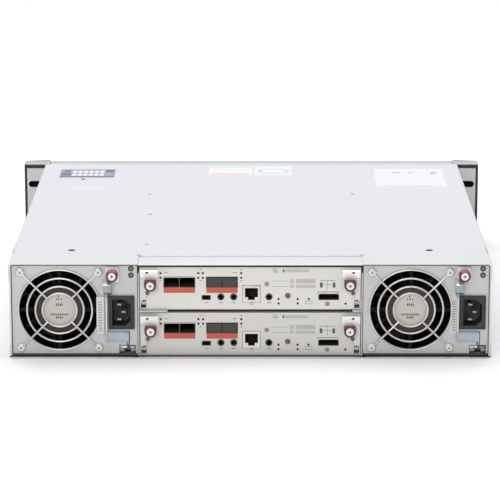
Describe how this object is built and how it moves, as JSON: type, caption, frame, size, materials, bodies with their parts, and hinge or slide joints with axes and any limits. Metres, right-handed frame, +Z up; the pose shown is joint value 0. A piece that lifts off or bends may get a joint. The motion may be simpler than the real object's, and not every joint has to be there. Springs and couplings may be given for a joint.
{
  "type": "disk shelf enclosure",
  "caption": "Two-unit rack disk shelf seen from its rear: steel enclosure with drive bays in front, wire-guarded fans, mains inlets, stacked controllers and hinged latches.",
  "frame": {"origin": "underside of the chassis floor, on the centre line, half way between the chassis' rear edge and the front plane of the rack ears' rear faces", "axes": "+X to the right as seen from the rear, +Y towards the drive bays at the front, +Z up"},
  "size_m": [0.488, 0.4858, 0.088],
  "materials": {
    "zinc_steel": "satin",
    "cover_steel": "satin",
    "module_steel": "satin",
    "lever_steel": "polished",
    "screw_nickel": "polished",
    "chrome_wire": "polished",
    "black_plastic": "matte",
    "guide_plastic": "matte",
    "blank_plastic": "matte",
    "circuit_board": "semi-gloss",
    "button_red": "gloss"
  },
  "bodies": {
    "enclosure": {"chassis_tray": "zinc_steel", "top_cover": "cover_steel", "drive_cage": "zinc_steel", "drive_guides": "guide_plastic", "midplane_board": "circuit_board", "bay_frame": "zinc_steel", "ear_cap_left": "black_plastic", "ear_cap_right": "black_plastic"},
    "bay_blank_01": {"drive_blank_01": "blank_plastic"},
    "bay_blank_02": {"drive_blank_02": "blank_plastic"},
    "bay_blank_03": {"drive_blank_03": "blank_plastic"},
    "bay_blank_04": {"drive_blank_04": "blank_plastic"},
    "bay_blank_05": {"drive_blank_05": "blank_plastic"},
    "bay_blank_06": {"drive_blank_06": "blank_plastic"},
    "bay_blank_07": {"drive_blank_07": "blank_plastic"},
    "bay_blank_08": {"drive_blank_08": "blank_plastic"},
    "bay_blank_09": {"drive_blank_09": "blank_plastic"},
    "bay_blank_10": {"drive_blank_10": "blank_plastic"},
    "bay_blank_11": {"drive_blank_11": "blank_plastic"},
    "bay_blank_12": {"drive_blank_12": "blank_plastic"},
    "bay_blank_13": {"drive_blank_13": "blank_plastic"},
    "bay_blank_14": {"drive_blank_14": "blank_plastic"},
    "bay_blank_15": {"drive_blank_15": "blank_plastic"},
    "bay_blank_16": {"drive_blank_16": "blank_plastic"},
    "bay_blank_17": {"drive_blank_17": "blank_plastic"},
    "bay_blank_18": {"drive_blank_18": "blank_plastic"},
    "bay_blank_19": {"drive_blank_19": "blank_plastic"},
    "bay_blank_20": {"drive_blank_20": "blank_plastic"},
    "bay_blank_21": {"drive_blank_21": "blank_plastic"},
    "bay_blank_22": {"drive_blank_22": "blank_plastic"},
    "bay_blank_23": {"drive_blank_23": "blank_plastic"},
    "bay_blank_24": {"drive_blank_24": "blank_plastic"},
    "left_supply": {"psu_left_case": "module_steel", "psu_left_fan_housing": "black_plastic", "psu_left_finger_guard": "chrome_wire", "psu_left_inlet": "black_plastic"},
    "left_supply_fan": {"psu_left_fan_rotor": "black_plastic"},
    "left_supply_handle": {"psu_left_handle": "lever_steel"},
    "left_supply_screw": {"psu_left_thumbscrew": "screw_nickel"},
    "right_supply": {"psu_right_case": "module_steel", "psu_right_fan_housing": "black_plastic", "psu_right_finger_guard": "chrome_wire", "psu_right_inlet": "black_plastic"},
    "right_supply_fan": {"psu_right_fan_rotor": "black_plastic"},
    "right_supply_handle": {"psu_right_handle": "lever_steel"},
    "right_supply_screw": {"psu_right_thumbscrew": "screw_nickel"},
    "lower_controller": {"controller_lower_case": "module_steel", "controller_lower_board": "circuit_board"},
    "lower_left_latch": {"controller_lower_latch_left": "lever_steel"},
    "lower_left_screw": {"controller_lower_thumbscrew_left": "screw_nickel"},
    "lower_right_latch": {"controller_lower_latch_right": "lever_steel"},
    "lower_right_screw": {"controller_lower_thumbscrew_right": "screw_nickel"},
    "lower_button": {"controller_lower_button": "button_red"},
    "upper_controller": {"controller_upper_case": "module_steel", "controller_upper_board": "circuit_board"},
    "upper_left_latch": {"controller_upper_latch_left": "lever_steel"},
    "upper_left_screw": {"controller_upper_thumbscrew_left": "screw_nickel"},
    "upper_right_latch": {"controller_upper_latch_right": "lever_steel"},
    "upper_right_screw": {"controller_upper_thumbscrew_right": "screw_nickel"},
    "upper_button": {"controller_upper_button": "button_red"}
  },
  "joints": [
    {"name": "blank_01_slide", "type": "slide", "parent": "enclosure", "child": "bay_blank_01", "axis": [0, 1, 0], "range_m": [0, 0.115]},
    {"name": "blank_02_slide", "type": "slide", "parent": "enclosure", "child": "bay_blank_02", "axis": [0, 1, 0], "range_m": [0, 0.115]},
    {"name": "blank_03_slide", "type": "slide", "parent": "enclosure", "child": "bay_blank_03", "axis": [0, 1, 0], "range_m": [0, 0.115]},
    {"name": "blank_04_slide", "type": "slide", "parent": "enclosure", "child": "bay_blank_04", "axis": [0, 1, 0], "range_m": [0, 0.115]},
    {"name": "blank_05_slide", "type": "slide", "parent": "enclosure", "child": "bay_blank_05", "axis": [0, 1, 0], "range_m": [0, 0.115]},
    {"name": "blank_06_slide", "type": "slide", "parent": "enclosure", "child": "bay_blank_06", "axis": [0, 1, 0], "range_m": [0, 0.115]},
    {"name": "blank_07_slide", "type": "slide", "parent": "enclosure", "child": "bay_blank_07", "axis": [0, 1, 0], "range_m": [0, 0.115]},
    {"name": "blank_08_slide", "type": "slide", "parent": "enclosure", "child": "bay_blank_08", "axis": [0, 1, 0], "range_m": [0, 0.115]},
    {"name": "blank_09_slide", "type": "slide", "parent": "enclosure", "child": "bay_blank_09", "axis": [0, 1, 0], "range_m": [0, 0.115]},
    {"name": "blank_10_slide", "type": "slide", "parent": "enclosure", "child": "bay_blank_10", "axis": [0, 1, 0], "range_m": [0, 0.115]},
    {"name": "blank_11_slide", "type": "slide", "parent": "enclosure", "child": "bay_blank_11", "axis": [0, 1, 0], "range_m": [0, 0.115]},
    {"name": "blank_12_slide", "type": "slide", "parent": "enclosure", "child": "bay_blank_12", "axis": [0, 1, 0], "range_m": [0, 0.115]},
    {"name": "blank_13_slide", "type": "slide", "parent": "enclosure", "child": "bay_blank_13", "axis": [0, 1, 0], "range_m": [0, 0.115]},
    {"name": "blank_14_slide", "type": "slide", "parent": "enclosure", "child": "bay_blank_14", "axis": [0, 1, 0], "range_m": [0, 0.115]},
    {"name": "blank_15_slide", "type": "slide", "parent": "enclosure", "child": "bay_blank_15", "axis": [0, 1, 0], "range_m": [0, 0.115]},
    {"name": "blank_16_slide", "type": "slide", "parent": "enclosure", "child": "bay_blank_16", "axis": [0, 1, 0], "range_m": [0, 0.115]},
    {"name": "blank_17_slide", "type": "slide", "parent": "enclosure", "child": "bay_blank_17", "axis": [0, 1, 0], "range_m": [0, 0.115]},
    {"name": "blank_18_slide", "type": "slide", "parent": "enclosure", "child": "bay_blank_18", "axis": [0, 1, 0], "range_m": [0, 0.115]},
    {"name": "blank_19_slide", "type": "slide", "parent": "enclosure", "child": "bay_blank_19", "axis": [0, 1, 0], "range_m": [0, 0.115]},
    {"name": "blank_20_slide", "type": "slide", "parent": "enclosure", "child": "bay_blank_20", "axis": [0, 1, 0], "range_m": [0, 0.115]},
    {"name": "blank_21_slide", "type": "slide", "parent": "enclosure", "child": "bay_blank_21", "axis": [0, 1, 0], "range_m": [0, 0.115]},
    {"name": "blank_22_slide", "type": "slide", "parent": "enclosure", "child": "bay_blank_22", "axis": [0, 1, 0], "range_m": [0, 0.115]},
    {"name": "blank_23_slide", "type": "slide", "parent": "enclosure", "child": "bay_blank_23", "axis": [0, 1, 0], "range_m": [0, 0.115]},
    {"name": "blank_24_slide", "type": "slide", "parent": "enclosure", "child": "bay_blank_24", "axis": [0, 1, 0], "range_m": [0, 0.115]},
    {"name": "left_supply_slide", "type": "slide", "parent": "enclosure", "child": "left_supply", "axis": [0, -1, 0], "range_m": [0, 0.33]},
    {"name": "left_fan_spin", "type": "hinge", "parent": "left_supply", "child": "left_supply_fan", "pos_m": [-0.1751, -0.205, 0.0445], "axis": [0, 1, 0], "continuous": true},
    {"name": "left_handle_swing", "type": "hinge", "parent": "left_supply", "child": "left_supply_handle", "pos_m": [-0.1129, -0.2175, 0.008], "axis": [1, 0, 0], "range_deg": [0, 65]},
    {"name": "left_supply_screw_turn", "type": "hinge", "parent": "left_supply_handle", "child": "left_supply_screw", "pos_m": [-0.1264, -0.2243, 0.0783], "axis": [0, 1, 0], "continuous": true},
    {"name": "right_supply_slide", "type": "slide", "parent": "enclosure", "child": "right_supply", "axis": [0, -1, 0], "range_m": [0, 0.33]},
    {"name": "right_fan_spin", "type": "hinge", "parent": "right_supply", "child": "right_supply_fan", "pos_m": [0.1473, -0.205, 0.0445], "axis": [0, 1, 0], "continuous": true},
    {"name": "right_handle_swing", "type": "hinge", "parent": "right_supply", "child": "right_supply_handle", "pos_m": [0.2095, -0.2175, 0.008], "axis": [1, 0, 0], "range_deg": [0, 65]},
    {"name": "right_supply_screw_turn", "type": "hinge", "parent": "right_supply_handle", "child": "right_supply_screw", "pos_m": [0.196, -0.2243, 0.0783], "axis": [0, 1, 0], "continuous": true},
    {"name": "lower_controller_slide", "type": "slide", "parent": "enclosure", "child": "lower_controller", "axis": [0, -1, 0], "range_m": [0, 0.33]},
    {"name": "lower_left_latch_swing", "type": "hinge", "parent": "lower_controller", "child": "lower_left_latch", "pos_m": [-0.098, -0.2175, 0.0073], "axis": [1, 0, 0], "range_deg": [0, 60]},
    {"name": "lower_left_screw_turn", "type": "hinge", "parent": "lower_left_latch", "child": "lower_left_screw", "pos_m": [-0.0915, -0.2243, 0.0259], "axis": [0, 1, 0], "continuous": true},
    {"name": "lower_right_latch_swing", "type": "hinge", "parent": "lower_controller", "child": "lower_right_latch", "pos_m": [0.098, -0.2175, 0.0073], "axis": [1, 0, 0], "range_deg": [0, 60]},
    {"name": "lower_right_screw_turn", "type": "hinge", "parent": "lower_right_latch", "child": "lower_right_screw", "pos_m": [0.0915, -0.2243, 0.0259], "axis": [0, 1, 0], "continuous": true},
    {"name": "lower_button_press", "type": "slide", "parent": "lower_controller", "child": "lower_button", "axis": [0, 1, 0], "range_m": [0, 0.0009], "stiffness_N_per_m": 1000, "springref_m": -0.0002},
    {"name": "upper_controller_slide", "type": "slide", "parent": "enclosure", "child": "upper_controller", "axis": [0, -1, 0], "range_m": [0, 0.33]},
    {"name": "upper_left_latch_swing", "type": "hinge", "parent": "upper_controller", "child": "upper_left_latch", "pos_m": [-0.098, -0.2175, 0.0508], "axis": [1, 0, 0], "range_deg": [0, 60]},
    {"name": "upper_left_screw_turn", "type": "hinge", "parent": "upper_left_latch", "child": "upper_left_screw", "pos_m": [-0.0915, -0.2243, 0.0694], "axis": [0, 1, 0], "continuous": true},
    {"name": "upper_right_latch_swing", "type": "hinge", "parent": "upper_controller", "child": "upper_right_latch", "pos_m": [0.098, -0.2175, 0.0508], "axis": [1, 0, 0], "range_deg": [0, 60]},
    {"name": "upper_right_screw_turn", "type": "hinge", "parent": "upper_right_latch", "child": "upper_right_screw", "pos_m": [0.0915, -0.2243, 0.0694], "axis": [0, 1, 0], "continuous": true},
    {"name": "upper_button_press", "type": "slide", "parent": "upper_controller", "child": "upper_button", "axis": [0, 1, 0], "range_m": [0, 0.0009], "stiffness_N_per_m": 1000, "springref_m": -0.0002}
  ]
}
